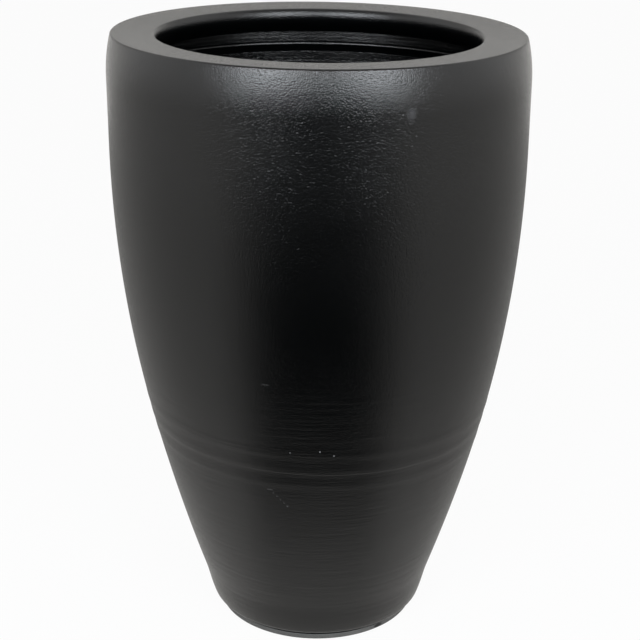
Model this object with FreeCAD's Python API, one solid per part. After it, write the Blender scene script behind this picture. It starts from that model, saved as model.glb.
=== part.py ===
"""Floor vase: a stoneware vessel luted together from thrown sections, standing on felt pads.

Millimetres, +Z up. The origin is on the ground, under the centre of the foot.
Every section is a profile in the XZ plane, turned about Z.
"""

import FreeCAD
import Part
import math
import os

# Overall
HEIGHT = 600.0  # ground to the rim's outer edge
SHOULDER_RADIUS = 200.7  # the widest part
WALL = 12.0  # thickness of the thrown walls

# Curve of the outer face, from the rim down
SHOULDER_HEIGHT = 40.0  # the turn from the rim to the upright band
SHOULDER_CURVE = 160.0
BAND_HEIGHT = 64.0  # the upright band
MIDDLE_JOINT = 219.6  # where the sections, and their curves, meet
UPPER_TAPER = 32.4  # the upper section draws in by this much, down to the middle joint
LOWER_TAPER = 62.1  # and the lower one by this much, down to its underside

# Rim
RIM_WIDTH = 43.4  # outer edge to the narrowest part of the mouth
RIM_FALL = 1.8  # the top face falls this much towards the mouth
RIM_HEIGHT = 43.0  # of the whole rim ring
RIM_ARRIS = 2.0
LIP_THICKNESS = 24.0
LIP_ROUND = 4.0  # rounding of the lip's upper edge, down to the mouth's narrowest part
LIP_UNDERCUT = 9.0  # from there the lip draws back by this much, down to its lower edge
NECK_FILLET = 4.0

# Luted joints
SLIP = 1.0  # thickness of the slip
TONGUE = 5.0  # depth of the V between two sections
SEAM_BEVEL = 2.0  # cut off the sections' inner edges, and filled by the seam
BEAD_FALL = 8.0  # the bevel below a joint is this long, so that the bead runs out downwards
BEAD_BROW = 0.8  # share of its height that a bead still has below its crest
RIM_BEAD = 2.2  # the seam stands this proud inside the rim
MIDDLE_BEAD = 2.0

# Turned rings on the outside: one at the middle joint, one above it and one below
RING_PITCH = 17.4
RING_PROUD = 0.4
RING_STEP = 4.0  # height of a ring's lower flank, where the face steps out
RING_RUN = 13.0  # above that it falls back to the body's curve over this height

# Floor and foot
FLOOR_THICKNESS = 16.0
FLOOR_FILLET = 22.0
HEEL_RADIUS = 4.0
FOOT_INSET = 1.6  # from the edge of the flat underside
FOOT_WIDTH = 24.0
FOOT_HEIGHT = 8.8
FOOT_BAND = 6.0  # height of the foot ring's outer face
FOOT_GROOVE = 2.5  # above that face the ring, and the slip on it, stand back this far
FOOT_LOWER_EDGE = 2.0
FOOT_UPPER_EDGE = 1.0

# Felt pads
PAD_COUNT = 4
PAD_DIAMETER = 16.0
PAD_THICKNESS = 2.0

# Heights and radii that follow
RIM_JOINT = HEIGHT - RIM_HEIGHT
SHOULDER_START = HEIGHT - SHOULDER_HEIGHT
BELLY_HEIGHT = SHOULDER_START - BAND_HEIGHT
MIDDLE_RADIUS = SHOULDER_RADIUS - UPPER_TAPER
FOOT_TOP = PAD_THICKNESS + FOOT_HEIGHT
UNDERSIDE = FOOT_TOP + SLIP
RINGS = [MIDDLE_JOINT + step * RING_PITCH for step in (-1, 0, 1)]
FLOOR_TOP = UNDERSIDE + FLOOR_THICKNESS


def point(radius, height):
    """A point of a profile."""
    return FreeCAD.Vector(radius, 0, height)


def line(start, end):
    """A straight edge of a profile."""
    return Part.LineSegment(start, end).toShape()


def arc(start, middle, end):
    """A round edge of a profile."""
    return Part.Arc(start, middle, end).toShape()


def polyline(*points):
    """Straight edges through the points."""
    return [line(a, b) for a, b in zip(points, points[1:])]


def corner(centre, bend, start, end):
    """A round edge about a centre, from one angle to another, in degrees above the radius."""
    angles = (start, (start + end) / 2, end)
    turned = [FreeCAD.Vector(math.cos(math.radians(a)), 0, math.sin(math.radians(a))) for a in angles]
    return arc(*[centre + way * bend for way in turned])


def turn(edges):
    """The solid of revolution of a closed profile."""
    wire = Part.Wire(Part.__sortEdges__(edges))
    return Part.Face(wire).revolve(FreeCAD.Vector(), FreeCAD.Vector(0, 0, 1), 360)


def arc_from(start, inward, end):
    """(centre, radius) of the arc that leaves start square to inward and passes through end.

    The radius is negative where the arc bends the other way and has its centre outside.
    """
    chord = end - start
    bend = chord.dot(chord) / (2 * chord.dot(inward))
    return start + inward * bend, bend


def arc_leaving(start, inward, end):
    """The round edge that leaves start square to inward and ends at end."""
    centre, bend = arc_from(start, inward, end)
    way = start - centre + end - centre
    way.normalize()
    return arc(start, centre + way * abs(bend), end)


def body_curves():
    """(centre, radius) of the outer face's three curves: shoulder, upper section and lower section."""
    shoulder = point(SHOULDER_RADIUS - SHOULDER_CURVE, SHOULDER_START), SHOULDER_CURVE
    meeting = point(MIDDLE_RADIUS, MIDDLE_JOINT)
    upper = arc_from(point(SHOULDER_RADIUS, BELLY_HEIGHT), FreeCAD.Vector(-1, 0, 0), meeting)
    inward = (upper[0] - meeting) / upper[1]
    lower = arc_from(meeting, inward, point(MIDDLE_RADIUS - LOWER_TAPER, UNDERSIDE))
    return shoulder, upper, lower


SHOULDER, UPPER, LOWER = body_curves()


def curve_change(depth):
    """The height at which the lower curve passes into the upper one, at a depth inside the outer face."""
    return MIDDLE_JOINT + depth * (UPPER[0].z - MIDDLE_JOINT) / UPPER[1]


def curve_at(depth, height):
    """(centre, radius) of the body's curve at a height and a depth, or None on the upright band."""
    if BELLY_HEIGHT <= height < SHOULDER_START:
        return None
    if height >= SHOULDER_START:
        centre, bend = SHOULDER
    elif height >= curve_change(depth):
        centre, bend = UPPER
    else:
        centre, bend = LOWER
    return centre, bend - depth


def radius(depth, height):
    """The body's radius at a height, at a depth inside the outer face."""
    curve = curve_at(depth, height)
    if curve is None:
        return SHOULDER_RADIUS - depth
    centre, bend = curve
    return centre.x + math.copysign(math.sqrt(bend**2 - (height - centre.z) ** 2), bend)


def on_curve(depth, height):
    """The point of the body's curve at a height."""
    return point(radius(depth, height), height)


def outward(depth, height):
    """The unit normal of the body's curve at a height."""
    curve = curve_at(depth, height)
    if curve is None:
        return FreeCAD.Vector(1, 0, 0)
    centre, bend = curve
    return (on_curve(depth, height) - centre) / bend


def wall_edges(depth, low, high):
    """Edges along the body's curve between two heights, one for each curve that it passes."""
    knots = [curve_change(depth), BELLY_HEIGHT, SHOULDER_START]
    heights = [low, *[knot for knot in knots if low < knot < high], high]
    edges = []
    for start, end in zip(heights, heights[1:]):
        middle = (start + end) / 2
        ends = on_curve(depth, start), on_curve(depth, end)
        if curve_at(depth, middle) is None:
            edges.append(line(*ends))
        else:
            edges.append(arc(ends[0], on_curve(depth, middle), ends[1]))
    return edges


def swell(height):
    """How far the turned rings stand proud of the body's curve at a height."""
    for ring in RINGS:
        rise = height - ring + RING_STEP / 2
        if 0 <= rise < RING_STEP:
            return RING_PROUD * rise / RING_STEP
        if RING_STEP <= rise < RING_STEP + RING_RUN:
            return RING_PROUD * (1 - (rise - RING_STEP) / RING_RUN)
    return 0.0


def skin(height):
    """The point of the outer face at a height, with its rings."""
    return on_curve(0, height) + outward(0, height) * swell(height)


def outer_edges(low, high):
    """Edges of the outer face between two heights: the body's curve, and straight flanks on the rings."""
    turns = (0, RING_STEP, RING_STEP + RING_RUN)
    knots = [ring - RING_STEP / 2 + rise for ring in RINGS for rise in turns]
    heights = [low, *[knot for knot in knots if low < knot < high], high]
    edges = []
    for start, end in zip(heights, heights[1:]):
        if swell((start + end) / 2) > 0:
            edges.append(line(skin(start), skin(end)))
        else:
            edges += wall_edges(0, start, end)
    return edges


def plane_fillet(depth, plane, fillet, facing):
    """(point on the plane, middle, point on the wall) of a fillet between the wall and a level plane.

    facing is 1 where the fillet lies above the plane, and -1 where it lies below.
    """
    height = plane + facing * fillet
    centre = on_curve(depth + fillet, height)
    to_plane = FreeCAD.Vector(0, 0, -facing)
    to_wall = outward(depth + fillet, height)
    to_middle = to_plane + to_wall
    to_middle.normalize()
    return [centre + way * fillet for way in (to_plane, to_middle, to_wall)]


def joint_line(joint, side):
    """Outer edge, V, and bevelled inner edge of a section at a joint, as four points.

    side is 1 for the section above the joint and -1 for the one below.
    """
    edge = joint + side * SLIP / 2
    bevel_end = edge + SEAM_BEVEL if side > 0 else edge - BEAD_FALL
    outer = skin(edge)
    inner = point(radius(WALL, edge) + SEAM_BEVEL, edge)
    valley = (outer + inner) / 2 - FreeCAD.Vector(0, 0, TONGUE)
    return outer, valley, inner, on_curve(WALL, bevel_end)


def seam(joint, bead):
    """The slip of a joint: a V between the sections, with a bead inside that runs out downwards."""
    above = joint_line(joint, 1)
    below = joint_line(joint, -1)
    crest = point(radius(WALL, joint) - bead, joint)
    brow = joint - SEAM_BEVEL
    under_crest = point(radius(WALL, brow) - bead * BEAD_BROW, brow)
    edges = polyline(*above) + polyline(*below)
    edges += [arc(above[-1], crest, under_crest), line(under_crest, below[-1]), line(above[0], below[0])]
    return turn(edges)


def rim_ring():
    """The flat rim with its rolled lip, on a short neck."""
    foot = joint_line(RIM_JOINT, 1)
    arris = plane_fillet(0, HEIGHT, RIM_ARRIS, -1)
    mouth = arris[0].x + RIM_ARRIS - RIM_WIDTH
    lip_top = HEIGHT - RIM_FALL
    lip_bottom = lip_top - LIP_THICKNESS
    neck = plane_fillet(WALL, lip_bottom, NECK_FILLET, -1)
    round_centre = point(mouth + LIP_ROUND, lip_top - LIP_ROUND)
    crest = point(mouth, round_centre.z)
    under = point(mouth + LIP_UNDERCUT, lip_bottom)
    edges = wall_edges(0, foot[0].z, arris[2].z)
    edges.append(arc(*arris))
    edges.append(line(arris[0], point(round_centre.x, lip_top)))
    edges.append(corner(round_centre, LIP_ROUND, 90, 180))
    edges.append(arc_leaving(crest, FreeCAD.Vector(1, 0, 0), under))
    edges.append(line(under, neck[0]))
    edges.append(arc(*neck))
    edges += wall_edges(WALL, foot[3].z, neck[2].z)
    return turn(edges + polyline(*foot))


def upper_section():
    """The upper wall, between the middle joint and the rim."""
    top = joint_line(RIM_JOINT, -1)
    bottom = joint_line(MIDDLE_JOINT, 1)
    edges = outer_edges(MIDDLE_JOINT + SLIP / 2, RIM_JOINT - SLIP / 2)
    edges += wall_edges(WALL, bottom[3].z, top[3].z)
    return turn(edges + polyline(*top) + polyline(*bottom))


def lower_section():
    """The lower wall and the vase's floor, thrown in one piece."""
    top = joint_line(MIDDLE_JOINT, -1)
    heel = plane_fillet(0, UNDERSIDE, HEEL_RADIUS, 1)
    floor = plane_fillet(WALL, FLOOR_TOP, FLOOR_FILLET, 1)
    edges = [arc(*heel), arc(*floor)]
    edges += outer_edges(heel[2].z, MIDDLE_JOINT - SLIP / 2)
    edges += wall_edges(WALL, floor[2].z, top[3].z)
    edges += polyline(heel[0], point(0, UNDERSIDE), point(0, FLOOR_TOP), floor[0])
    return turn(edges + polyline(*top))


def foot_radii():
    """(outer, inner) radius of the foot ring, which stands inside the heel's rounding."""
    outer = plane_fillet(0, UNDERSIDE, HEEL_RADIUS, 1)[0].x - FOOT_INSET
    return outer, outer - FOOT_WIDTH


def foot_ring():
    """The ring that the vase stands on: a band with softened edges, and a land that is set back."""
    outer, inner = foot_radii()
    band_top = PAD_THICKNESS + FOOT_BAND
    land = outer - FOOT_GROOVE
    low = point(outer - FOOT_LOWER_EDGE, PAD_THICKNESS + FOOT_LOWER_EDGE)
    high = point(outer - FOOT_UPPER_EDGE, band_top - FOOT_UPPER_EDGE)
    edges = [corner(low, FOOT_LOWER_EDGE, -90, 0), corner(high, FOOT_UPPER_EDGE, 0, 90)]
    edges.append(line(point(outer, low.z), point(outer, high.z)))
    edges += polyline(point(high.x, band_top), point(land, band_top), point(land, FOOT_TOP))
    edges += polyline(point(land, FOOT_TOP), point(inner, FOOT_TOP), point(inner, PAD_THICKNESS))
    edges.append(line(point(inner, PAD_THICKNESS), point(low.x, PAD_THICKNESS)))
    return turn(edges)


def foot_seam():
    """The slip between the foot ring's land and the underside."""
    outer, inner = foot_radii()
    disc = Part.makeCylinder(outer - FOOT_GROOVE, SLIP, point(0, FOOT_TOP))
    return disc.cut(Part.makeCylinder(inner, SLIP, point(0, FOOT_TOP)))


def floor_pad(index):
    """One felt pad, under the middle of the foot ring's width."""
    turn_angle = 2 * math.pi * (index + 0.5) / PAD_COUNT
    reach = sum(foot_radii()) / 2
    place = FreeCAD.Vector(reach * math.cos(turn_angle), reach * math.sin(turn_angle), 0)
    return Part.makeCylinder(PAD_DIAMETER / 2, PAD_THICKNESS, place)


def pieces():
    """Every piece of the vase by name."""
    made = {
        "rim_ring": rim_ring(),
        "rim_seam": seam(RIM_JOINT, RIM_BEAD),
        "upper_section": upper_section(),
        "middle_seam": seam(MIDDLE_JOINT, MIDDLE_BEAD),
        "lower_section": lower_section(),
        "foot_seam": foot_seam(),
        "foot_ring": foot_ring(),
    }
    for index in range(PAD_COUNT):
        made[f"floor_pad_{index + 1}"] = floor_pad(index)
    return made


os.makedirs("parts", exist_ok=True)
for name, shape in pieces().items():
    shape.exportStep(f"parts/{name}.step")
    print(f"{name}: valid {shape.isValid()}, volume {shape.Volume / 1000:.1f} cm3")
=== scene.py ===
"""Looks of the floor vase: thrown and luted stoneware in a satin black glaze, on felt pads.

Metres, +Z up, in the frame's own place: the origin is on the ground under the centre of the foot,
and -Y faces the camera. The clay pieces are profiles in the XZ plane, drawn edge by edge and turned.
"""

import logging
import math
from collections.abc import Iterable, Iterator
from dataclasses import dataclass, field
from enum import Enum
from typing import Any

import bpy
from mathutils import Matrix, Vector


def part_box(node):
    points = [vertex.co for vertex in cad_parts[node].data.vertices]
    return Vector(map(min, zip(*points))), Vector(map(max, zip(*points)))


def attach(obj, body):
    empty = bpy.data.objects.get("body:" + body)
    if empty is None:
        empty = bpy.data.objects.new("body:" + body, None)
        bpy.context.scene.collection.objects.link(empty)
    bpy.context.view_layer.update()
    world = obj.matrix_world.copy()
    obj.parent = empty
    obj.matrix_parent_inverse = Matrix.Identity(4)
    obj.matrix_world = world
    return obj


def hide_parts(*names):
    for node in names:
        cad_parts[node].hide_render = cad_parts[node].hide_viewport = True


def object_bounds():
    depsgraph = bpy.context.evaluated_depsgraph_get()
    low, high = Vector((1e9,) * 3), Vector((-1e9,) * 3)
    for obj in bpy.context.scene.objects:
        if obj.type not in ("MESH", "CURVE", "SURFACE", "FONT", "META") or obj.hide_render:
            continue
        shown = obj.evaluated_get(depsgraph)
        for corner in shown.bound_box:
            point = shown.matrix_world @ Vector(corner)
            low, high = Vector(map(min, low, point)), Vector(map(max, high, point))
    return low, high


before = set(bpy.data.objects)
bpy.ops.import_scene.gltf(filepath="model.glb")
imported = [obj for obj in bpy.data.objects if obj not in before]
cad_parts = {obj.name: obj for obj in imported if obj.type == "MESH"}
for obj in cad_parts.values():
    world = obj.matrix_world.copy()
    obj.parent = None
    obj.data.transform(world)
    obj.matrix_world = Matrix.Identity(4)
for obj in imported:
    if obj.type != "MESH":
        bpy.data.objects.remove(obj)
CAD_LOW, CAD_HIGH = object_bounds()

LOG = logging.getLogger("floor_vase")
BODY = "root"
PHOTO_WIDTH = 640

Colour = tuple[float, float, float]
Point = tuple[float, float]

BLACK: Colour = (0.0, 0.0, 0.0)
WHITE: Colour = (1.0, 1.0, 1.0)
WARM_WHITE: Colour = (1.0, 0.985, 0.955)
DAYLIGHT: Colour = (0.90, 0.95, 1.0)
BLACK_GLAZE: Colour = (0.0004, 0.0006, 0.0007)
BLACK_BLOOM: Colour = (0.0008, 0.0010, 0.0011)
# Painted shade in the groove over the foot's band, and the colour of a dark spot on the band
GROOVE_SHADE_AND_SPOT_BLACK: Colour = (0.002, 0.002, 0.002)
SCRATCHED: Colour = (0.022, 0.022, 0.022)
SCRATCH_REACH = (0.0009, 0.0040, 0.0013)


class Slot(Enum):
    """The record's material slots."""

    SATIN_GLAZE = "satin_glaze"
    FOOT_GLAZE = "foot_glaze"
    SLIP = "slip"
    FELT = "felt"


class Side(Enum):
    """Which section of a luted joint: the one above it or the one below."""

    ABOVE = 1
    BELOW = -1


# Shader maths


class Value:
    """A number in a shader, with operators that add Math nodes."""

    def __init__(self, tree: "Tree", socket: bpy.types.NodeSocket) -> None:
        """Wraps an output socket of a tree."""
        self.tree = tree
        self.socket = socket

    def __add__(self, other: "Value | float") -> "Value":
        """Sum."""
        return self.tree.math("ADD", self, other)

    __radd__ = __add__

    def __mul__(self, other: "Value | float") -> "Value":
        """Product."""
        return self.tree.math("MULTIPLY", self, other)

    def __sub__(self, other: "Value | float") -> "Value":
        """Difference."""
        return self.tree.math("SUBTRACT", self, other)

    def __rsub__(self, other: "Value | float") -> "Value":
        """Difference, with this one taken from the other."""
        return self.tree.math("SUBTRACT", other, self)

    def __truediv__(self, other: "Value | float") -> "Value":
        """Quotient."""
        return self.tree.math("DIVIDE", self, other)

    def ramp(self, low: float, high: float) -> "Value":
        """A smooth step.

        Args:
            low: the value at which the step is 0.
            high: the value at which it is 1, above low or below it.

        Returns:
            A number from 0 to 1.
        """
        ends = {"From Min": min(low, high), "From Max": max(low, high)}
        settings = {"interpolation_type": "SMOOTHSTEP"}
        node = self.tree.node("ShaderNodeMapRange", settings, {"Value": self, **ends})
        step = Value(self.tree, node.outputs["Result"])
        return step if low < high else 1 - step


class Tree:
    """A node tree under construction."""

    def __init__(self, tree: bpy.types.NodeTree) -> None:
        """Empties a node tree to start afresh."""
        self.tree = tree
        self.tree.nodes.clear()

    def node(self, kind: str, settings: dict[str, Any], inputs: dict[str | int, Any]) -> bpy.types.Node:
        """Adds a node.

        Args:
            kind: the node's type.
            settings: its own properties, set first.
            inputs: values or links of its sockets, by name or number.

        Returns:
            The new node.
        """
        node = self.tree.nodes.new(kind)
        for name, setting in settings.items():
            setattr(node, name, setting)
        for name, value in inputs.items():
            if isinstance(value, Value):
                value = value.socket
            if isinstance(value, bpy.types.NodeSocket):
                self.tree.links.new(value, node.inputs[name])
            else:
                node.inputs[name].default_value = value
        return node

    def math(self, operation: str, *numbers: "Value | float") -> Value:
        """One Math node on numbers."""
        settings = {"operation": operation}
        return Value(self, self.node("ShaderNodeMath", settings, dict(enumerate(numbers))).outputs[0])

    def vector(self, operation: str, *vectors: Any) -> bpy.types.NodeSocket:
        """One Vector Math node that gives a vector."""
        settings = {"operation": operation}
        return self.node("ShaderNodeVectorMath", settings, dict(enumerate(vectors))).outputs["Vector"]

    def length(self, vector: bpy.types.NodeSocket) -> Value:
        """The length of a vector."""
        node = self.node("ShaderNodeVectorMath", {"operation": "LENGTH"}, {0: vector})
        return Value(self, node.outputs["Value"])

    def place(self) -> bpy.types.NodeSocket:
        """The point of the surface, in the piece's own frame."""
        return self.node("ShaderNodeTexCoord", {}, {}).outputs["Object"]

    def axis(self, place: bpy.types.NodeSocket, name: str) -> Value:
        """One of a point's coordinates: X, Y or Z."""
        return Value(self, self.node("ShaderNodeSeparateXYZ", {}, {0: place}).outputs[name])

    def pebbles(self, place: bpy.types.NodeSocket, size: float, softness: float) -> Value:
        """Close-set domes.

        Args:
            place: the coordinates.
            size: the domes' spacing in metres.
            softness: how far the valleys between them are filled.

        Returns:
            0 on the domes' tops, falling with the square of the distance from them.
        """
        inputs = {"Vector": place, "Scale": 1 / size, "Smoothness": softness}
        node = self.node("ShaderNodeTexVoronoi", {"feature": "SMOOTH_F1"}, inputs)
        distance = Value(self, node.outputs["Distance"])
        return distance * distance * -1

    def noise(self, place: Any, scale: float, detail: float = 2.0, roughness: float = 0.5) -> Value:
        """Noise about 0.5.

        Args:
            place: the coordinates.
            scale: features in a metre.
            detail: octaves.
            roughness: the share of the finer octaves.

        Returns:
            A number from about 0 to 1.
        """
        inputs = {"Vector": place, "Scale": scale, "Detail": detail, "Roughness": roughness}
        return Value(self, self.node("ShaderNodeTexNoise", {}, inputs).outputs["Fac"])

    def mix(self, factor: Value, first: Any, second: Any) -> bpy.types.NodeSocket:
        """A colour between two colours."""
        inputs = {"Factor": factor, 6: first, 7: second}
        return self.node("ShaderNodeMix", {"data_type": "RGBA"}, inputs).outputs[2]

    def bump(self, height: Value) -> bpy.types.NodeSocket:
        """A normal from a relief in metres."""
        inputs = {"Strength": 1.0, "Distance": 1.0, "Height": height}
        return self.node("ShaderNodeBump", {}, inputs).outputs["Normal"]


def opaque(colour: Colour) -> tuple[float, float, float, float]:
    """A colour with full alpha."""
    return (*colour, 1.0)


def fresh_material(name: str) -> tuple[bpy.types.Material, Tree]:
    """A new material, with its node tree emptied.

    Args:
        name: the material's name.

    Returns:
        The material and its tree.
    """
    material = bpy.data.materials.new(name)
    material.use_nodes = True
    return material, Tree(material.node_tree)


# Finishes


@dataclass(frozen=True)
class Mark:
    """An ellipsoid mark about a point of a face, in metres: a spot of wear, a speck, a dark spot, and painted
    shade.
    """

    centre: tuple[float, float, float]
    reach: tuple[float, float, float]
    colour: Colour
    core: float = 0.5


@dataclass(frozen=True)
class Glaze:
    """Sprayed satin glaze: a fine pebble grain, and the lines of turning lower down.

    Sizes are in metres, and depths are those of the relief.
    """

    name: str
    colour: Colour
    bloom: Colour
    roughness: float
    marks: tuple[Mark, ...] = ()
    roughness_spread: float = 0.05
    refraction: float = 1.55
    grain_size: float = 0.0012
    grain_depth: float = 0.00021
    grain_softness: float = 0.3
    line_size: float = 0.0036
    line_length: float = 0.07
    line_depth: float = 0.00045
    lined_below: float = 0.36
    line_fade: float = 0.12
    patch_size: float = 0.07
    bloom_range: tuple[float, float] = (0.35, 0.75)
    streak_range: tuple[float, float] = (0.25, 0.60)

    def material(self) -> bpy.types.Material:
        """Makes the finish.

        Returns:
            The material.
        """
        material, tree = fresh_material(self.name)
        place = tree.place()
        patches = tree.noise(place, 1 / self.patch_size, detail=3.0)
        stretch = (1 / self.line_length, 1 / self.line_length, 1 / self.line_size)
        stretched = tree.vector("MULTIPLY", place, stretch)
        lines = tree.noise(stretched, scale=1.0, detail=3.0, roughness=0.6)
        top, bottom = self.lined_below + self.line_fade, self.lined_below - self.line_fade
        lined = tree.axis(place, "Z").ramp(top, bottom)
        grain = tree.pebbles(place, self.grain_size, self.grain_softness)
        streaks = lines * lined * patches.ramp(*self.streak_range)
        relief = grain * self.grain_depth + streaks * self.line_depth
        colour = tree.mix(patches.ramp(*self.bloom_range), opaque(self.colour), opaque(self.bloom))
        for mark in self.marks:
            away = tree.vector("DIVIDE", tree.vector("SUBTRACT", place, mark.centre), mark.reach)
            colour = tree.mix(tree.length(away).ramp(1.0, mark.core), colour, opaque(mark.colour))
        roughness = self.roughness + (patches - 0.5) * self.roughness_spread
        shader = tree.node(
            "ShaderNodeBsdfPrincipled",
            {},
            {
                "Base Color": colour,
                "Roughness": roughness,
                "IOR": self.refraction,
                "Normal": tree.bump(relief),
            },
        )
        tree.node("ShaderNodeOutputMaterial", {}, {"Surface": shader.outputs[0]})
        return material


@dataclass(frozen=True)
class Felt:
    """Pressed felt: matted fibres."""

    name: str
    colour: Colour
    fibre_colour: Colour
    fibre_size: float = 0.0004
    fibre_depth: float = 0.0003
    roughness: float = 0.95
    fibre_range: tuple[float, float] = (0.4, 0.7)

    def material(self) -> bpy.types.Material:
        """Makes the finish.

        Returns:
            The material.
        """
        material, tree = fresh_material(self.name)
        fibres = tree.noise(tree.place(), 1 / self.fibre_size, detail=4.0, roughness=0.7)
        matting = fibres.ramp(*self.fibre_range)
        shader = tree.node(
            "ShaderNodeBsdfPrincipled",
            {},
            {
                "Base Color": tree.mix(matting, opaque(self.colour), opaque(self.fibre_colour)),
                "Roughness": self.roughness,
                "Normal": tree.bump(fibres * self.fibre_depth),
            },
        )
        tree.node("ShaderNodeOutputMaterial", {}, {"Surface": shader.outputs[0]})
        return material


FINISHES: dict[Slot, Glaze | Felt] = {
    Slot.SATIN_GLAZE: Glaze(
        "satin_black_glaze",
        BLACK_GLAZE,
        BLACK_BLOOM,
        roughness=0.20,
        marks=(
            # A smudge under the shoulder
            Mark((0.0774, -0.1852, 0.5605), (0.0066, 0.0066, 0.0100), (0.031, 0.031, 0.033), 0.0),
            # Specks at the rings and below them
            Mark((-0.0247, -0.1721, 0.2438), (0.0009, 0.0030, 0.0008), (0.10, 0.10, 0.10)),
            Mark((0.0027, -0.1744, 0.2460), (0.0009, 0.0030, 0.0009), (0.17, 0.17, 0.17)),
            Mark((0.0155, -0.1727, 0.2413), (0.0011, 0.0030, 0.0008), (0.14, 0.14, 0.14)),
            Mark((-0.0275, -0.1564, 0.1810), (0.0008, 0.0030, 0.0008), (0.13, 0.13, 0.13)),
            # A scuff, and the dotted scratch from it to the lowest speck
            Mark((-0.0440, -0.1570, 0.1990), (0.0045, 0.0040, 0.0009), (0.026, 0.026, 0.026)),
            Mark((-0.0407, -0.1570, 0.1954), SCRATCH_REACH, SCRATCHED),
            Mark((-0.0374, -0.1569, 0.1918), SCRATCH_REACH, SCRATCHED),
            Mark((-0.0341, -0.1567, 0.1882), SCRATCH_REACH, SCRATCHED),
            Mark((-0.0308, -0.1566, 0.1846), SCRATCH_REACH, SCRATCHED),
            # A fainter scuff over the rings
            Mark((-0.0468, -0.1810, 0.3147), (0.0050, 0.0050, 0.0012), (0.014, 0.014, 0.014)),
        ),
    ),
    Slot.FOOT_GLAZE: Glaze(
        "thin_foot_glaze_with_groove_shade",
        (0.070, 0.069, 0.066),
        (0.110, 0.107, 0.100),
        roughness=0.55,
        marks=(
            # Painted shade: black in the groove over the band, where shade falls; and a dark spot on the band
            # at the right
            Mark((0.0, 0.0, 0.0110), (1.0, 1.0, 0.0036), GROOVE_SHADE_AND_SPOT_BLACK, 0.8),
            Mark((0.0637, -0.0794, 0.0055), (0.0060, 0.0060, 0.0024), GROOVE_SHADE_AND_SPOT_BLACK, 0.7),
        ),
    ),
    Slot.SLIP: Glaze("fired_black_slip", BLACK_GLAZE, BLACK_BLOOM, roughness=0.22),
    Slot.FELT: Felt("dark_grey_felt", (0.030, 0.029, 0.028), (0.075, 0.073, 0.070)),
}


# Modelling by hand


def select_only(*pieces: bpy.types.Object) -> None:
    """Leaves object mode clean, with just these pieces selected.

    Args:
        pieces: what to select.
    """
    if bpy.context.object and bpy.context.object.mode != "OBJECT":
        bpy.ops.object.mode_set(mode="OBJECT")
    bpy.ops.object.select_all(action="DESELECT")
    for piece in pieces:
        piece.select_set(True)
        bpy.context.view_layer.objects.active = piece


def around(centre: Point, point: Point, angle: float) -> Point:
    """A point turned about a centre, towards +Z from +X."""
    turned = Matrix.Rotation(angle, 2) @ Vector((point[0] - centre[0], point[1] - centre[1]))
    return centre[0] + turned.x, centre[1] + turned.y


def angle_about(centre: Point, start: Point, end: Point) -> float:
    """The shorter turn about a centre from one point to another, towards +Z from +X.

    Args:
        centre: what the turn is about.
        start: where it starts.
        end: the way it ends.

    Returns:
        The angle, from minus a half turn to a half turn.
    """
    first = math.atan2(start[1] - centre[1], start[0] - centre[0])
    last = math.atan2(end[1] - centre[1], end[0] - centre[0])
    return (last - first + math.pi) % math.tau - math.pi


def circle_centre(first: Point, second: Point, third: Point) -> Point:
    """The centre of the circle through three points.

    Args:
        first: a point.
        second: another.
        third: a third, out of line with them.

    Returns:
        The centre.
    """
    ax, ay = second[0] - first[0], second[1] - first[1]
    bx, by = third[0] - first[0], third[1] - first[1]
    twice_area = 2 * (ax * by - ay * bx)
    a_square, b_square = ax * ax + ay * ay, bx * bx + by * by
    return (
        first[0] + (by * a_square - ay * b_square) / twice_area,
        first[1] + (ax * b_square - bx * a_square) / twice_area,
    )


def smooth(share: float) -> float:
    """A share from 0 to 1, eased at both ends."""
    share = min(1.0, max(0.0, share))
    return 3 * share**2 - 2 * share**3


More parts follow.
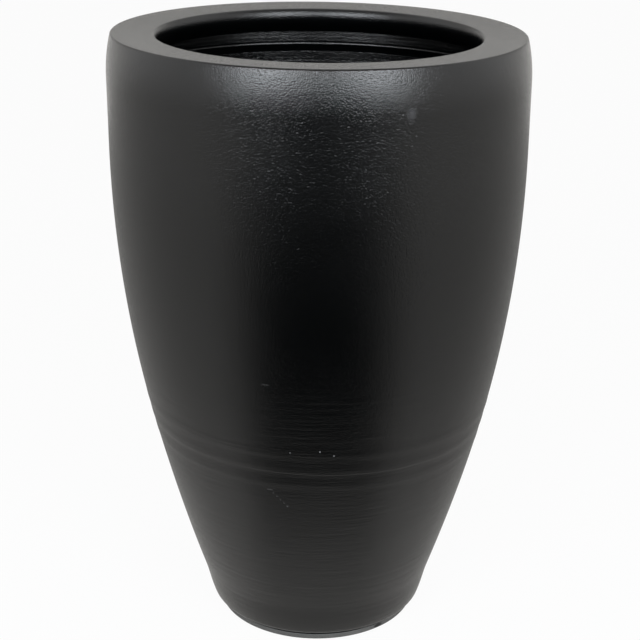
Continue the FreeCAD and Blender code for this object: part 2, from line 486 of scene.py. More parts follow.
class Lathe:
    """Draws a profile in the XZ plane, as edges, and turns it about Z."""

    SHARP = math.radians(32)
    MERGE = 1e-7
    SEED = 0.01

    def __init__(self, name: str, start: Point) -> None:
        """Starts the profile.

        Args:
            name: the piece's name.
            start: radius and height of the first point.
        """
        select_only()
        bpy.ops.mesh.primitive_plane_add(size=self.SEED)
        self.piece = bpy.context.object
        self.piece.name = name
        self.piece.data.name = name
        bpy.ops.object.mode_set(mode="EDIT")
        bpy.ops.mesh.select_mode(type="VERT")
        bpy.ops.mesh.select_all(action="SELECT")
        bpy.ops.mesh.merge(type="CENTER")
        bpy.ops.transform.translate(value=(start[0], 0, start[1]))
        self.start = start
        self.tip = start

    def line(self, end: Point, rows: int = 1) -> "Lathe":
        """Extrudes a straight stretch.

        Args:
            end: radius and height of its end.
            rows: how many edges it has.

        Returns:
            The lathe, to draw on.
        """
        step = ((end[0] - self.tip[0]) / rows, 0, (end[1] - self.tip[1]) / rows)
        for _ in range(rows):
            bpy.ops.mesh.extrude_vertices_move(TRANSFORM_OT_translate={"value": step})
        self.tip = end
        return self

    def follow(self, points: Iterable[Point]) -> "Lathe":
        """Extrudes through points of a curve, in order.

        Args:
            points: radius and height of each.

        Returns:
            The lathe, to draw on.
        """
        for point in points:
            self.line(point)
        return self

    def arc(self, centre: Point, end: Point, rows: int) -> "Lathe":
        """Spins the tip to make a round stretch.

        Args:
            centre: the arc's centre.
            end: where it ends.
            rows: how many edges it has.

        Returns:
            The lathe, to draw on.
        """
        angle = angle_about(centre, self.tip, end)
        pivot = (centre[0], 0, centre[1])
        bpy.ops.mesh.spin(steps=rows, angle=angle, center=pivot, axis=(0, 1, 0))
        self.tip = around(centre, self.tip, angle)
        return self

    def arc_through(self, middle: Point, end: Point, rows: int) -> "Lathe":
        """Makes a round stretch in two halves through a middle point."""
        centre = circle_centre(self.tip, middle, end)
        return self.arc(centre, middle, rows // 2).arc(centre, end, rows - rows // 2)

    def close(self) -> "Lathe":
        """Draws the profile's last edge, back to its start."""
        return self.line(self.start)

    def turn(self, segments: int) -> bpy.types.Object:
        """Turns the profile into a closed body.

        Args:
            segments: how many steps there are in the full turn.

        Returns:
            The piece, in object mode.
        """
        bpy.ops.mesh.select_all(action="SELECT")
        bpy.ops.mesh.remove_doubles(threshold=self.MERGE)
        bpy.ops.object.mode_set(mode="OBJECT")
        turning = self.piece.modifiers.new("turning", "SCREW")
        turning.steps = segments
        turning.render_steps = segments
        bpy.ops.object.modifier_apply(modifier=turning.name)
        bpy.ops.object.mode_set(mode="EDIT")
        bpy.ops.mesh.select_all(action="SELECT")
        bpy.ops.mesh.remove_doubles(threshold=self.MERGE)
        bpy.ops.mesh.select_all(action="SELECT")
        bpy.ops.mesh.normals_make_consistent(inside=False)
        bpy.ops.object.mode_set(mode="OBJECT")
        select_only(self.piece)
        bpy.ops.object.shade_smooth_by_angle(angle=self.SHARP)
        return self.piece


def dress(piece: bpy.types.Object, node: str, slot: Slot, materials: dict[Slot, bpy.types.Material]) -> None:
    """Finishes a piece and ties it to the frame.

    Args:
        piece: the finished mesh.
        node: the CAD node that it stands for.
        slot: the record's slot of its finish.
        materials: the finishes, made.
    """
    piece.data.materials.clear()
    piece.data.materials.append(materials[slot])
    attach(piece, BODY)
    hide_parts(node)
    LOG.info("%s: %d faces", piece.name, len(piece.data.polygons))


# The vase's own form


@dataclass(frozen=True)
class BodyForm:
    """The thrown body's curve and wall: a shoulder arc, an upright band and two arcs below it."""

    height: float
    shoulder_radius: float
    rim_joint: float
    middle_joint: float
    underside: float
    shoulder_height: float = 0.040
    shoulder_bend: float = 0.160
    band_height: float = 0.064
    upper_taper: float = 0.0324
    lower_taper: float = 0.0621
    wall: float = 0.012
    slip: float = 0.001
    tongue: float = 0.005
    bevel: float = 0.002
    bead_fall: float = 0.008
    bead_brow: float = 0.8
    ring_pitch: float = 0.0174
    ring_proud: float = 0.00024
    ring_step: float = 0.0075
    ring_run: float = 0.0099
    heel_flare: float = 0.0019
    flare_low: float = 0.018
    flare_top: float = 0.050

    @classmethod
    def from_frame(cls) -> "BodyForm":
        """Takes the overall sizes and the joints' heights from the frame.

        Returns:
            The form.
        """
        joints = {name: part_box(name)[1].z - cls.slip / 2 - cls.bevel for name in ("rim_seam", "middle_seam")}
        return cls(
            height=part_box("rim_ring")[1].z,
            shoulder_radius=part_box("upper_section")[1].x,
            rim_joint=joints["rim_seam"],
            middle_joint=joints["middle_seam"],
            underside=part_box("lower_section")[0].z,
        )

    def arc_from(self, start: Vector, inward: Vector, end: Vector) -> tuple[Vector, float]:
        """Centre and signed radius of the arc that leaves start square to inward and passes through end.

        Args:
            start: where the arc leaves.
            inward: the unit normal there.
            end: a point that it passes through.

        Returns:
            The centre and the radius.
        """
        chord = end - start
        bend = chord.dot(chord) / (2 * chord.dot(inward))
        return start + inward * bend, bend

    def curve(self, depth: float, height: float) -> tuple[Vector, float] | None:
        """The arc of the wall at a height.

        Args:
            depth: how far inside the outer face.
            height: above the ground.

        Returns:
            Centre and signed radius, or None on the upright band.
        """
        shoulder_start = self.height - self.shoulder_height
        belly = shoulder_start - self.band_height
        if belly <= height < shoulder_start:
            return None
        if height >= shoulder_start:
            centre = Vector((self.shoulder_radius - self.shoulder_bend, shoulder_start))
            return centre, self.shoulder_bend - depth
        meeting = Vector((self.shoulder_radius - self.upper_taper, self.middle_joint))
        upper = self.arc_from(Vector((self.shoulder_radius, belly)), Vector((-1, 0)), meeting)
        inward = (upper[0] - meeting) / upper[1]
        if height >= self.middle_joint + depth * inward.y:
            return upper[0], upper[1] - depth
        lower = self.arc_from(meeting, inward, Vector((meeting.x - self.lower_taper, self.underside)))
        return lower[0], lower[1] - depth

    def radius(self, depth: float, height: float) -> float:
        """The wall's radius at a height and a depth inside the outer face.

        Args:
            depth: how far inside the outer face.
            height: above the ground.

        Returns:
            The distance from the axis.
        """
        curve = self.curve(depth, height)
        if curve is None:
            return self.shoulder_radius - depth
        centre, bend = curve
        return centre.x + math.copysign(math.sqrt(bend**2 - (height - centre.y) ** 2), bend)

    def on(self, depth: float, height: float) -> Point:
        """The wall's point at a height."""
        return self.radius(depth, height), height

    def outward(self, depth: float, height: float) -> Vector:
        """The wall's unit normal at a height.

        Args:
            depth: how far inside the outer face.
            height: above the ground.

        Returns:
            The normal, out from the axis.
        """
        curve = self.curve(depth, height)
        if curve is None:
            return Vector((1, 0))
        return (Vector(self.on(depth, height)) - curve[0]) / curve[1]

    def rings(self) -> list[float]:
        """The turned rings' heights, from the lowest up."""
        return [self.middle_joint + step * self.ring_pitch for step in (-1, 0, 1)]

    def ring_zone(self) -> tuple[float, float]:
        """The heights between which the rings lie."""
        rings = self.rings()
        return rings[0] - self.ring_step / 2, rings[-1] + self.ring_step / 2 + self.ring_run

    def swell(self, height: float) -> float:
        """How far the heel's flare or a turned ring stands proud at a height.

        Args:
            height: above the ground.

        Returns:
            The stand, square to the wall.
        """
        if height < self.flare_top:
            return self.heel_flare * smooth((self.flare_top - height) / (self.flare_top - self.flare_low))
        for ring in self.rings():
            rise = height - ring + self.ring_step / 2
            if 0 <= rise < self.ring_step:
                return self.ring_proud * (0.5 - 0.5 * math.cos(math.pi * rise / self.ring_step))
            fall = (rise - self.ring_step) / self.ring_run
            if 0 <= fall < 1:
                return self.ring_proud * (0.5 + 0.5 * math.cos(math.pi * fall))
        return 0.0

    def skin(self, height: float) -> Point:
        """The outer face's point at a height, with its rings and flare."""
        spot = Vector(self.on(0, height)) + self.outward(0, height) * self.swell(height)
        return spot.x, spot.y

    def fillet(self, depth: float, plane: float, bend: float, facing: int) -> tuple[Point, Point, Point]:
        """A fillet between the wall and a level plane.

        Args:
            depth: of the wall's face inside the outer face.
            plane: the plane's height.
            bend: the fillet's radius.
            facing: 1 where it lies above the plane, and -1 where it lies below.

        Returns:
            The fillet's end on the plane, its centre, and its end on the wall.
        """
        height = plane + facing * bend
        centre = self.on(depth + bend, height)
        wall = Vector(centre) + self.outward(depth + bend, height) * bend
        return (centre[0], plane), centre, (wall.x, wall.y)

    def joint(self, height: float, side: Side) -> list[Point]:
        """Outer edge, V, inner edge and bevel's end of a section at a luted joint.

        Args:
            height: the joint's height.
            side: the section's side of it.

        Returns:
            The four points, from the outside in.
        """
        edge = height + side.value * self.slip / 2
        bevel_end = edge + self.bevel if side is Side.ABOVE else edge - self.bead_fall
        outer = self.skin(edge)
        inner = self.radius(self.wall, edge) + self.bevel, edge
        valley = (outer[0] + inner[0]) / 2, (outer[1] + inner[1]) / 2 - self.tongue
        return [outer, valley, inner, self.on(self.wall, bevel_end)]


def rows(start: float, end: float, pitch: float) -> Iterator[float]:
    """Even heights after start, up or down, and end itself, at most a pitch apart.

    Args:
        start: where the rows begin.
        end: the last row.
        pitch: the greatest step.

    Returns:
        The heights, in order.
    """
    count = max(1, math.ceil(abs(end - start) / pitch))
    for index in range(1, count + 1):
        yield start + (end - start) * index / count


@dataclass(frozen=True)
class Lean:
    """The lean of hand throwing: level rows of the body stand higher on the left, by a small angle.

    The angles are in degrees, by height.
    """

    low: float = 0.03
    rings: float = 0.20
    ring_angle: float = 1.27
    rim_angle: float = 0.5
    levels: int = 25

    def angle(self, height: float, top: float) -> float:
        """The rows' angle at a height, on a body of a given height.

        Args:
            height: above the ground.
            top: the body's height.

        Returns:
            The angle, in radians.
        """
        first = smooth((height - self.low) / (self.rings - self.low))
        second = smooth((height - self.rings) / (top - self.rings))
        return math.radians(first * self.ring_angle + second * (self.rim_angle - self.ring_angle))

    def apply(self, pieces: list[bpy.types.Object], reach: float, top: float) -> None:
        """Leans pieces together, in one lattice.

        Args:
            pieces: what leans.
            reach: the body's greatest radius.
            top: its height.
        """
        select_only()
        bpy.ops.object.add(type="LATTICE", location=(0, 0, top / 2))
        cage = bpy.context.object
        cage.scale = (2 * reach, 2 * reach, top)
        cage.data.points_u, cage.data.points_v, cage.data.points_w = 2, 2, self.levels
        for setting in ("interpolation_type_u", "interpolation_type_v", "interpolation_type_w"):
            setattr(cage.data, setting, "KEY_LINEAR")
        for knot in cage.data.points:
            height = (knot.co.z + 0.5) * top
            knot.co_deform.z -= knot.co.x * 2 * reach * math.tan(self.angle(height, top)) / top
        for piece in pieces:
            select_only(piece)
            leaning = piece.modifiers.new("lean", "LATTICE")
            leaning.object = cage
            bpy.ops.object.modifier_apply(modifier=leaning.name)
        select_only(cage)
        bpy.ops.object.delete()


@dataclass
class ThrownBody:
    """The luted clay sections: rim ring, two walls and the slip between them."""

    form: BodyForm
    lean: Lean = Lean()
    segments: int = 288
    outer_pitch: float = 0.0032
    ring_rows: float = 0.0006
    inner_pitch: float = 0.0032
    fine_rows: float = 0.0007
    fine_above: float = 0.530
    rim_width: float = 0.0434
    rim_fall: float = 0.0018
    rim_arris: float = 0.002
    lip_thickness: float = 0.024
    lip_round: float = 0.004
    lip_drop: float = 0.0078
    lip_rows: int = 16
    lip_undercut: float = 0.009
    neck_fillet: float = 0.004
    neck_flare: float = 0.0002
    rim_bead: float = 0.0022
    middle_bead: float = 0.002
    heel_radius: float = 0.0065
    floor_thickness: float = 0.016
    floor_fillet: float = 0.022
    ridge_pitch: float = 0.017
    ridge_height: float = 0.0003
    ridge_drift: float = 0.031
    groove_pitch: float = 0.0037
    groove_depth: float = 0.00006
    ridge_wander: float = 1.3
    edge_rows: int = 8
    rim_rows: int = 12
    roll_rows: int = 16
    bead_rows: int = 12
    floor_rows: int = 16
    floor_fillet_rows: int = 12

    def ridges(self, height: float) -> float:
        """The throwing marks' stand inwards at a height inside, which is nothing at the joints.

        Args:
            height: above the ground.

        Returns:
            The stand.
        """
        form = self.form
        clear = min(abs(height - form.rim_joint), abs(height - form.middle_joint)) - form.bevel - form.slip
        clear -= form.bead_fall if height < form.rim_joint else 0.0
        fade = min(1.0, max(0.0, clear / self.ridge_pitch))
        drift = self.ridge_wander * math.sin(height / self.ridge_drift)
        wave = math.sin(math.tau * height / self.ridge_pitch + drift)
        ridge = self.ridge_height * fade * (0.5 + 0.5 * wave)
        if height < self.fine_above:
            return ridge
        return ridge + self.grooves(height, clear)

    def inner(self, start: float, end: float) -> Iterator[Point]:
        """Points of the inner face from a height down to another, with its throwing marks.

        Args:
            start: the upper height.
            end: the lower one.

        Returns:
            Radius and height of each point, downwards.
        """
        heights: list[float] = []
        if start > self.fine_above:
            heights += rows(start, max(end, self.fine_above), self.fine_rows)
        if end < self.fine_above:
            heights += rows(min(start, self.fine_above), end, self.inner_pitch)
        for height in heights:
            yield self.form.radius(self.form.wall, height) - self.ridges(height), height

    def outer(self, start: float, end: float) -> Iterator[Point]:
        """Points of the outer face from a height up to another, closer together over the turned rings.

        Args:
            start: the lower height.
            end: the upper one.

        Returns:
            Radius and height of each point, upwards.
        """
        low, high = self.form.ring_zone()
        stops = [start, *[stop for stop in (low, high) if start < stop < end], end]
        for first, last in zip(stops, stops[1:]):
            ringed = low <= (first + last) / 2 <= high
            for height in rows(first, last, self.ring_rows if ringed else self.outer_pitch):
                yield self.form.skin(height)

    def grooves(self, height: float, clear: float) -> float:
        """The fine throwing grooves' stand inwards at a height, which fades out towards an edge."""
        fade = min(1.0, max(0.0, clear / self.groove_pitch))
        return self.groove_depth * fade * (0.5 + 0.5 * math.sin(math.tau * height / self.groove_pitch))

    def neck(self, top: Point, foot: Point) -> Iterator[Point]:
        """Points of the neck's inner face, down to its foot, with its throwing grooves.

        Args:
            top: where the face starts.
            foot: where it ends.

        Returns:
            Radius and height of each point, downwards.
        """
        for height in rows(top[1], foot[1], self.fine_rows):
            share = (height - foot[1]) / (top[1] - foot[1])
            wall = foot[0] + (top[0] - foot[0]) * share
            yield wall - self.grooves(height, height - foot[1]), height

    def lip(self, mouth: float, height: float) -> Iterator[Point]:
        """Points of the lip's upper rounding, down to the mouth's narrowest part at a height.

        Args:
            mouth: the mouth's radius.
            height: of its narrowest part.

        Returns:
            Radius and height of each point.
        """
        for share in rows(0, math.pi / 2, math.pi / 2 / self.lip_rows):
            out = self.lip_round * (1 - math.sin(share))
            yield mouth + out, height + self.lip_drop * math.cos(share)

    def rim(self) -> bpy.types.Object:
        """The flat rim with its rolled lip, on a short neck.

        Returns:
            The piece.
        """
        form = self.form
        foot = form.joint(form.rim_joint, Side.ABOVE)
        arris_top, arris_centre, arris_low = form.fillet(0, form.height, self.rim_arris, -1)
        mouth = arris_top[0] + self.rim_arris - self.rim_width
        lip_top = form.height - self.rim_fall
        lip_low = lip_top - self.lip_thickness
        crest = Vector((mouth, lip_top - self.lip_drop))
        under = Vector((mouth + self.lip_undercut, lip_low))
        roll_centre = form.arc_from(crest, Vector((1, 0)), under)[0]
        neck_wall = foot[3][0] + self.neck_flare
        neck_centre = neck_wall - self.neck_fillet, lip_low - self.neck_fillet
        lathe = Lathe("rim_ring_glazed", foot[0])
        lathe.follow(self.outer(foot[0][1], arris_low[1]))
        lathe.arc(arris_centre, arris_top, self.edge_rows)
        lathe.line((mouth + self.lip_round, lip_top), self.rim_rows)
        lathe.follow(self.lip(mouth, crest.y))
        lathe.arc((roll_centre.x, roll_centre.y), (under.x, under.y), self.roll_rows)
        lathe.line((neck_centre[0], lip_low), self.edge_rows)
        lathe.arc(neck_centre, (neck_wall, neck_centre[1]), self.edge_rows)
        lathe.follow(self.neck((neck_wall, neck_centre[1]), foot[3]))
        lathe.follow(reversed(foot[1:3]))
        return lathe.close().turn(self.segments)

    def upper(self) -> bpy.types.Object:
        """The upper wall, between the middle joint and the rim.

        Returns:
            The piece.
        """
        form = self.form
        bottom = form.joint(form.middle_joint, Side.ABOVE)
        top = form.joint(form.rim_joint, Side.BELOW)
        lathe = Lathe("upper_section_glazed", bottom[0])
        lathe.follow(self.outer(form.middle_joint + form.slip / 2, form.rim_joint - form.slip / 2))
        lathe.follow(top[1:])
        lathe.follow(self.inner(top[3][1], bottom[3][1]))
        lathe.follow(reversed(bottom[1:3]))
        return lathe.close().turn(self.segments)

    def lower(self) -> bpy.types.Object:
        """The lower wall and the vase's floor.

        Returns:
            The piece.
        """
        form = self.form
        top = form.joint(form.middle_joint, Side.BELOW)
        heel = form.fillet(-form.heel_flare, form.underside, self.heel_radius, 1)
        heel_plane, heel_centre, heel_wall = heel
        floor_top = form.underside + self.floor_thickness
        floor_plane, floor_centre, floor_wall = form.fillet(form.wall, floor_top, self.floor_fillet, 1)
        lathe = Lathe("lower_section_glazed", (0.0, form.underside))
        lathe.line(heel_plane, self.floor_rows)
        lathe.arc(heel_centre, heel_wall, self.edge_rows)
        lathe.follow(self.outer(heel_wall[1], form.middle_joint - form.slip / 2))
        lathe.follow(top[1:])
        lathe.follow(self.inner(top[3][1], floor_wall[1]))
        lathe.arc(floor_centre, floor_plane, self.floor_fillet_rows)
        lathe.line((0.0, floor_top), self.floor_rows)
        return lathe.turn(self.segments)

    def seam(self, name: str, height: float, bead: float) -> bpy.types.Object:
        """The slip of a luted joint.

        Args:
            name: the piece's name.
            height: the joint's height.
            bead: how far it stands proud inside.

        Returns:
            The piece.
        """
        form = self.form
        above = form.joint(height, Side.ABOVE)
        below = form.joint(height, Side.BELOW)
        crest = form.radius(form.wall, height) - bead, height
        brow = height - form.bevel
        under_crest = form.radius(form.wall, brow) - bead * form.bead_brow, brow
        lathe = Lathe(name, below[0])
        lathe.follow(above)
        lathe.arc_through(crest, under_crest, self.bead_rows)
        lathe.line(below[3], self.edge_rows)
        lathe.follow(reversed(below[1:3]))
        return lathe.close().turn(self.segments)

    def build(self, materials: dict[Slot, bpy.types.Material]) -> None:
        """Models, leans and dresses every section.

        Args:
            materials: the finishes, made.
        """
        form = self.form
        glazed = {"rim_ring": self.rim(), "upper_section": self.upper(), "lower_section": self.lower()}
        slip = {
            "rim_seam": self.seam("rim_seam_slip", form.rim_joint, self.rim_bead),
            "middle_seam": self.seam("middle_seam_slip", form.middle_joint, self.middle_bead),
        }
        self.lean.apply([*glazed.values(), *slip.values()], form.shoulder_radius, form.height)
        for node, piece in glazed.items():
            dress(piece, node, Slot.SATIN_GLAZE, materials)
        for node, piece in slip.items():
            dress(piece, node, Slot.SLIP, materials)


@dataclass
class Foot:
    """The foot ring, its slip and the felt pads under it."""

    segments: int = 288
    width: float = 0.024
    band: float = 0.006
    lower_edge: float = 0.002
    upper_edge: float = 0.001
    pad_count: int = 4
    pad_edge: float = 0.0004
    pad_sides: int = 48
    pad_edge_rows: int = 4
    pad_corner: float = math.radians(60)
    pad_smooth: float = math.radians(40)
    face_rows: int = 8
    lower_rows: int = 6
    band_rows: int = 4
    upper_rows: int = 5
    ledge_rows: int = 2
    land_rows: int = 3
    seam_rows: int = 6
    seam_edge_rows: int = 2

    def ring(self) -> bpy.types.Object:
        """The ring that the vase stands on: a band with softened edges, and a land that is set back.

        Returns:
            The piece.
        """
        low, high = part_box("foot_ring")
        outer, bottom, top = high.x, low.z, high.z
        hole, land = outer - self.width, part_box("foot_seam")[1].x
        band_top = bottom + self.band
        lower_centre = outer - self.lower_edge, bottom + self.lower_edge
        upper_centre = outer - self.upper_edge, band_top - self.upper_edge
        lathe = Lathe("foot_ring_glazed", (hole, bottom))
        lathe.line((lower_centre[0], bottom), self.face_rows)
        lathe.arc(lower_centre, (outer, lower_centre[1]), self.lower_rows)
        lathe.line((outer, upper_centre[1]), self.band_rows)
        lathe.arc(upper_centre, (upper_centre[0], band_top), self.upper_rows)
        lathe.line((land, band_top), self.ledge_rows)
        lathe.line((land, top), self.land_rows)
        lathe.line((hole, top), self.face_rows)
        return lathe.close().turn(self.segments)

    def seam(self) -> bpy.types.Object:
        """The slip between the foot ring's land and the underside.

        Returns:
            The piece.
        """
        low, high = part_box("foot_seam")
        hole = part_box("foot_ring")[1].x - self.width
        lathe = Lathe("foot_seam_slip", (hole, low.z))
        lathe.line((high.x, low.z), self.seam_rows)
        lathe.line((high.x, high.z), self.seam_edge_rows)
        lathe.line((hole, high.z), self.seam_rows)
        return lathe.close().turn(self.segments)

    def pad(self, index: int) -> bpy.types.Object:
        """One felt pad: a disc with pressed edges.

        Args:
            index: the pad's number.

        Returns:
            The piece.
        """
        low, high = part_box(f"floor_pad_{index}")
        middle = (low + high) / 2
        select_only()
        bpy.ops.mesh.primitive_cylinder_add(
            vertices=self.pad_sides, radius=(high.x - low.x) / 2, depth=high.z - low.z, location=middle
        )
        piece = bpy.context.object
        piece.name = f"floor_pad_{index}_felt"
        bpy.ops.object.transform_apply(location=True, rotation=False, scale=False)
        bpy.ops.object.mode_set(mode="EDIT")
        bpy.ops.mesh.select_all(action="SELECT")
        bpy.ops.mesh.select_mode(type="EDGE")
        bpy.ops.mesh.edges_select_sharp(sharpness=self.pad_corner)
        bpy.ops.mesh.bevel(offset=self.pad_edge, segments=self.pad_edge_rows, affect="EDGES")
        bpy.ops.object.mode_set(mode="OBJECT")
        select_only(piece)
        bpy.ops.object.shade_smooth_by_angle(angle=self.pad_smooth)
        return piece

    def build(self, materials: dict[Slot, bpy.types.Material]) -> None:
        """Models and dresses the foot's pieces.

        Args:
            materials: the finishes, made.
        """
        dress(self.ring(), "foot_ring", Slot.FOOT_GLAZE, materials)
        dress(self.seam(), "foot_seam", Slot.SLIP, materials)
        for index in range(1, self.pad_count + 1):
            dress(self.pad(index), f"floor_pad_{index}", Slot.FELT, materials)


# Studio


@dataclass(frozen=True)
class Softbox:
    """A soft lamp that faces the vase."""

    name: str
    azimuth: float
    width: float
    radiance: float
    height: float = 0.95
    distance: float = 2.4
    elevation: float = 22
    tint: Colour = DAYLIGHT

    def build(self, target: Vector) -> None:
        """Adds the lamp.

        Args:
            target: the point that it faces.
        """
        turn, rise = math.radians(self.azimuth), math.radians(self.elevation)
        way = Vector((math.sin(turn) * math.cos(rise), -math.cos(turn) * math.cos(rise), math.sin(rise)))
        data = bpy.data.lights.new(self.name, "AREA")
        data.shape = "RECTANGLE"
        data.size, data.size_y = self.width, self.height
        data.energy = self.radiance * math.pi * self.width * self.height
        data.color = self.tint
        lamp = bpy.data.objects.new(self.name, data)
        bpy.context.scene.collection.objects.link(lamp)
        lamp.location = target + way * self.distance
        lamp.rotation_mode = "QUATERNION"
        lamp.rotation_quaternion = (-way).to_track_quat("-Z", "Y")
        lamp.visible_camera = False


def glow(tree: Tree, level: Value, tint: Colour) -> None:
    """Ends a tree in a plain glow of a tint, at a level from 0 to 1.

    Args:
        tree: the material's tree.
        level: the glow's strength.
        tint: its colour at full level.
    """
    colour = tree.mix(level, opaque(BLACK), opaque(tint))
    light = tree.node("ShaderNodeEmission", {}, {"Color": colour, "Strength": 1.0})
    tree.node("ShaderNodeOutputMaterial", {}, {"Surface": light.outputs[0]})


def gloss_only(card: bpy.types.Object) -> None:
    """Hides a card of the stage from all but gloss.

    Args:
        card: the card.
    """
    for kind in ("camera", "diffuse", "transmission", "volume_scatter", "shadow"):
        setattr(card, f"visible_{kind}", False)


@dataclass(frozen=True)
class Card:
    """A flat card beside the stage that only gloss shows, upright or level.

    Its glow passes into the top glow between the two heights of the fade.
    """

    name: str
    centre: tuple[float, float, float]
    width: float
    height: float
    glow: float
    top_glow: float
    fade: tuple[float, float] = (0.0, 1.0)
    upright: bool = True
    tint: Colour = WHITE

    def build(self) -> None:
        """Adds the card."""
        select_only()
        turn = math.pi / 2 if self.upright else 0.0
        bpy.ops.mesh.primitive_plane_add(size=1, location=self.centre, rotation=(turn, 0, 0))
        card = bpy.context.object
        card.name = self.name
        card.scale = (self.width, self.height, 1)
        bpy.ops.object.transform_apply(location=True, rotation=True, scale=True)
        material, tree = fresh_material(self.name)
        share = tree.axis(tree.place(), "Z").ramp(*self.fade)
        glow(tree, share * (self.top_glow - self.glow) + self.glow, self.tint)
        card.data.materials.append(material)
        gloss_only(card)


@dataclass(frozen=True)
class FloorShade:
    """What gloss shows of the floor: brighter before the vase than behind it, with a dark wedge in front.

    Levels are shares of white, distances are in metres and the wedge's angles in degrees from the front.
    """

    size: float = 16.0
    lift: float = 0.002
    mean: float = 0.48
    front: float = 0.13
    right: float = -0.02
    near_lift: float = 0.07
    near_start: float = 0.20
    near_end: float = 0.45
    open_level: float = 0.58
    open_front: float = 0.14
    open_start: float = 1.0
    open_end: float = 4.0
    wedge_edge: float = 54.0
    wedge_core: float = 20.0
    wedge_start: float = 0.03
    wedge_end: float = 0.50
    wedge_depth: float = 0.97
    wedge_return: float = 0.30
    tint: Colour = WARM_WHITE

    def build(self) -> None:
        """Adds the shade as a card just over the floor."""
        select_only()
        bpy.ops.mesh.primitive_plane_add(size=self.size, location=(0, 0, self.lift))
        card = bpy.context.object
        card.name = "floor_shade"
        material, tree = fresh_material("floor_shade")
        place = tree.place()
        reach = tree.length(place)
        ahead = 0 - tree.axis(place, "Y") / reach
        level = self.mean + ahead * self.front + tree.axis(place, "X") / reach * self.right
        level = level + reach.ramp(self.near_end, self.near_start) * self.near_lift
        opening = reach.ramp(self.open_start, self.open_end)
        level = level + (self.open_level + ahead * self.open_front - level) * opening
        edge, core = math.cos(math.radians(self.wedge_edge)), math.cos(math.radians(self.wedge_core))
        wedge = ahead.ramp(edge, core) * reach.ramp(self.wedge_start, self.wedge_end)
        dimming = wedge * (1 - opening * self.wedge_return) * self.wedge_depth
        glow(tree, level * (1 - dimming), self.tint)
        card.data.materials.append(material)
        gloss_only(card)


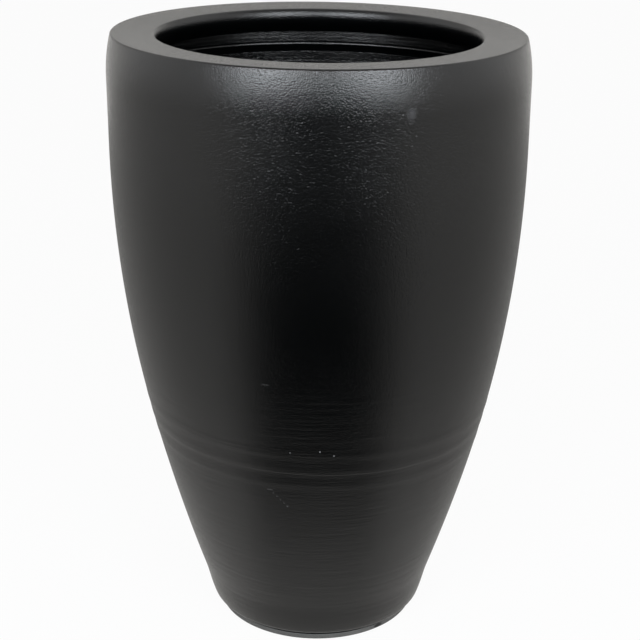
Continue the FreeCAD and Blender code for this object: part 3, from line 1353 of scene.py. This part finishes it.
@dataclass
class Studio:
    """A white floor and surround, three soft lamps, and cards that only gloss shows."""

    floor_size: float = 16.0
    floor_colour: Colour = (0.86, 0.86, 0.86)
    floor_glow: float = 0.95
    fill: float = 0.35
    shade: FloorShade = FloorShade()
    cards: list[Card] = field(
        default_factory=lambda: [
            Card("hung_cloth", (0, -3.4, 0.625), 5.6, 1.25, glow=0.01, top_glow=0.01),
            Card("overhead_cloth", (0, -0.9, 2.3), 3.6, 2.6, glow=0.45, top_glow=0.45, upright=False),
            Card(
                "grey_screen",
                (0, 2.2, 1.5),
                7.0,
                3.0,
                glow=0.83,
                top_glow=0.52,
                fade=(0.90, 1.10),
                tint=WARM_WHITE,
            ),
        ]
    )
    lamps: list[Softbox] = field(
        default_factory=lambda: [
            Softbox("left_softbox", azimuth=-26, width=1.2, radiance=9.0),
            Softbox("right_softbox", azimuth=29, width=1.1, radiance=9.0),
            Softbox("middle_softbox", azimuth=1.5, width=0.6, radiance=3.2, height=0.85, distance=2.45),
        ]
    )

    def seen(self, tree: Tree) -> Value:
        """1 for what the camera, gloss and glass see, and 0 for light on the object.

        Args:
            tree: the material's tree.

        Returns:
            The share.
        """
        path = tree.node("ShaderNodeLightPath", {}, {})
        rays = [Value(tree, path.outputs[f"Is {kind} Ray"]) for kind in ("Camera", "Glossy", "Transmission")]
        return tree.math("MAXIMUM", tree.math("MAXIMUM", rays[0], rays[1]), rays[2])

    def world(self) -> None:
        """White surround, which lights the object less than it shows."""
        world = bpy.data.worlds.new("white_surround")
        world.use_nodes = True
        bpy.context.scene.world = world
        tree = Tree(world.node_tree)
        strength = self.seen(tree) * (1 - self.fill) + self.fill
        light = tree.node("ShaderNodeBackground", {}, {"Color": opaque(WHITE), "Strength": strength})
        tree.node("ShaderNodeOutputWorld", {}, {"Surface": light.outputs[0]})

    def floor(self) -> None:
        """Plain pale floor, which glows to the eye and keeps a soft shadow."""
        select_only()
        bpy.ops.mesh.primitive_plane_add(size=self.floor_size)
        floor = bpy.context.object
        floor.name = "floor"
        material, tree = fresh_material("pale_floor")
        paint = tree.node("ShaderNodeBsdfDiffuse", {}, {"Color": opaque(self.floor_colour)})
        light = tree.node("ShaderNodeEmission", {}, {"Color": opaque(WHITE), "Strength": 1.0})
        both = tree.node(
            "ShaderNodeMixShader",
            {},
            {0: self.seen(tree) * self.floor_glow, 1: paint.outputs[0], 2: light.outputs[0]},
        )
        tree.node("ShaderNodeOutputMaterial", {}, {"Surface": both.outputs[0]})
        floor.data.materials.append(material)

    def build(self) -> None:
        """Sets the stage and the light."""
        bpy.context.scene.view_settings.view_transform = "Standard"
        self.world()
        self.floor()
        self.shade.build()
        for card in self.cards:
            card.build()
        for lamp in self.lamps:
            lamp.build(Vector((0, 0, (CAD_LOW.z + CAD_HIGH.z) / 2)))


@dataclass(frozen=True)
class PhotoCamera:
    """The photograph's camera."""

    place: tuple[float, float, float] = (0.0, -1.3931, 0.8223)
    focal_pixels: float = 1471.3
    pitch: float = 20.18
    roll: float = 0.348
    yaw: float = 0.0915
    sensor: float = 36.0

    def build(self) -> None:
        """Adds the camera and makes it the scene's."""
        data = bpy.data.cameras.new("photo_camera")
        data.sensor_width = self.sensor
        data.lens = self.focal_pixels / PHOTO_WIDTH * self.sensor
        camera = bpy.data.objects.new("photo_camera", data)
        bpy.context.scene.collection.objects.link(camera)
        aim = Matrix.Rotation(math.radians(-self.yaw), 4, "Z")
        tilt = Matrix.Rotation(math.radians(90 - self.pitch), 4, "X")
        lean = Matrix.Rotation(math.radians(self.roll), 4, "Z")
        camera.matrix_world = Matrix.Translation(self.place) @ aim @ tilt @ lean
        bpy.context.scene.camera = camera


def main() -> None:
    """Builds the vase, the studio and the camera."""
    logging.basicConfig(level=logging.INFO, format="%(name)s: %(message)s")
    materials = {slot: finish.material() for slot, finish in FINISHES.items()}
    ThrownBody(BodyForm.from_frame()).build(materials)
    Foot().build(materials)
    Studio().build()
    PhotoCamera().build()


if __name__ == "__main__":
    main()
